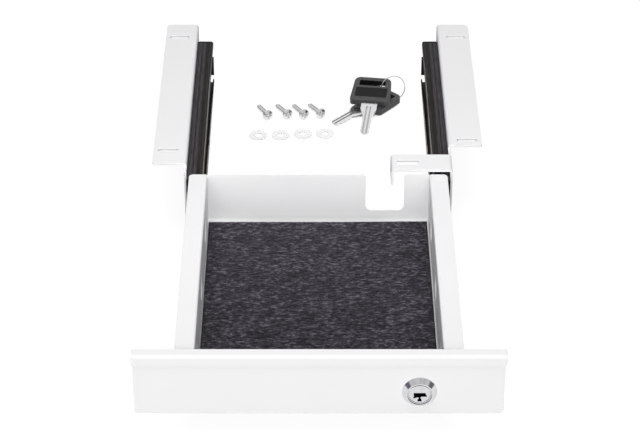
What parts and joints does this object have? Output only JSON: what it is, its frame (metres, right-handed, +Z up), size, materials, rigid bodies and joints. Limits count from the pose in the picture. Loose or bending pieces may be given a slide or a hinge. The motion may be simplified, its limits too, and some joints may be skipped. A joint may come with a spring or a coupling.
{
  "type": "lockable under-desk drawer",
  "caption": "Shallow sheet-steel drawer on telescopic slides that hangs under a desk from side brackets, with a cam lock and a felt mat.",
  "frame": {"origin": "on the underside of the desk, which the brackets' top plates touch, midway between the brackets and midway along them", "axes": "+X to the right of someone sitting at the desk, +Y in under the desk (the drawer closes along +Y), +Z up"},
  "size_m": [0.286, 0.5377, 0.078],
  "materials": {
    "white_steel": "white fine-texture powder coat",
    "black_steel": "black electrocoat with oil sheen",
    "black_plastic": "fine matt moulding",
    "zinc_steel": "bright zinc plating",
    "bearing_steel": "polished",
    "chrome": "chrome plating",
    "brass": "stamped",
    "felt": "dark heather needle felt",
    "nylon": "natural nylon"
  },
  "bodies": {
    "brackets": {"left_bracket": "white_steel", "right_bracket": "white_steel", "left_cabinet_rail": "black_steel", "right_cabinet_rail": "black_steel", "left_rail_rivets": "zinc_steel", "right_rail_rivets": "zinc_steel", "left_rail_buffer": "black_plastic", "right_rail_buffer": "black_plastic", "front_key_blade": "zinc_steel", "front_key_bow": "black_plastic", "back_key_blade": "zinc_steel", "back_key_bow": "black_plastic", "key_ring": "chrome", "desk_screws": "zinc_steel", "desk_washers": "nylon"},
    "drawer": {"tray": "white_steel", "felt_mat": "felt", "front_panel": "white_steel", "panel_rivets": "zinc_steel", "left_drawer_rail": "black_steel", "right_drawer_rail": "black_steel", "left_tray_screws": "zinc_steel", "right_tray_screws": "zinc_steel", "lock_rosette": "chrome", "lock_housing": "chrome", "lock_nut": "zinc_steel"},
    "lock_core": {"lock_plug": "chrome", "lock_wafers": "brass", "wafer_springs": "bearing_steel", "lock_cam": "zinc_steel", "cam_screw": "zinc_steel"},
    "left_middle": {"left_middle_rail": "black_steel"},
    "right_middle": {"right_middle_rail": "black_steel"},
    "left_outer_bearing": {"left_outer_cage": "zinc_steel", "left_outer_balls": "bearing_steel"},
    "right_outer_bearing": {"right_outer_cage": "zinc_steel", "right_outer_balls": "bearing_steel"},
    "left_inner_bearing": {"left_inner_cage": "zinc_steel", "left_inner_balls": "bearing_steel"},
    "right_inner_bearing": {"right_inner_cage": "zinc_steel", "right_inner_balls": "bearing_steel"}
  },
  "joints": [
    {"name": "drawer_slide", "type": "slide", "parent": "brackets", "child": "drawer", "axis": [0, 1, 0], "range_m": [0, 0.25]},
    {"name": "lock_turn", "type": "hinge", "parent": "drawer", "child": "lock_core", "pos_m": [0.077, -0.397, -0.036], "axis": [0, 1, 0], "range_deg": [0, 90]},
    {"name": "left_middle_slide", "type": "slide", "parent": "brackets", "child": "left_middle", "axis": [0, 1, 0], "range_m": [0, 0.125]},
    {"name": "right_middle_slide", "type": "slide", "parent": "brackets", "child": "right_middle", "axis": [0, 1, 0], "range_m": [0, 0.125]},
    {"name": "left_outer_bearing_slide", "type": "slide", "parent": "brackets", "child": "left_outer_bearing", "axis": [0, 1, 0], "range_m": [0, 0.0625]},
    {"name": "right_outer_bearing_slide", "type": "slide", "parent": "brackets", "child": "right_outer_bearing", "axis": [0, 1, 0], "range_m": [0, 0.0625]},
    {"name": "left_inner_bearing_slide", "type": "slide", "parent": "brackets", "child": "left_inner_bearing", "axis": [0, 1, 0], "range_m": [0, 0.1875]},
    {"name": "right_inner_bearing_slide", "type": "slide", "parent": "brackets", "child": "right_inner_bearing", "axis": [0, 1, 0], "range_m": [0, 0.1875]}
  ],
  "couplings": [
    {"joint": "left_middle_slide", "follows": "drawer_slide", "ratio": 0.5},
    {"joint": "right_middle_slide", "follows": "drawer_slide", "ratio": 0.5},
    {"joint": "left_outer_bearing_slide", "follows": "drawer_slide", "ratio": 0.25},
    {"joint": "right_outer_bearing_slide", "follows": "drawer_slide", "ratio": 0.25},
    {"joint": "left_inner_bearing_slide", "follows": "drawer_slide", "ratio": 0.75},
    {"joint": "right_inner_bearing_slide", "follows": "drawer_slide", "ratio": 0.75}
  ]
}
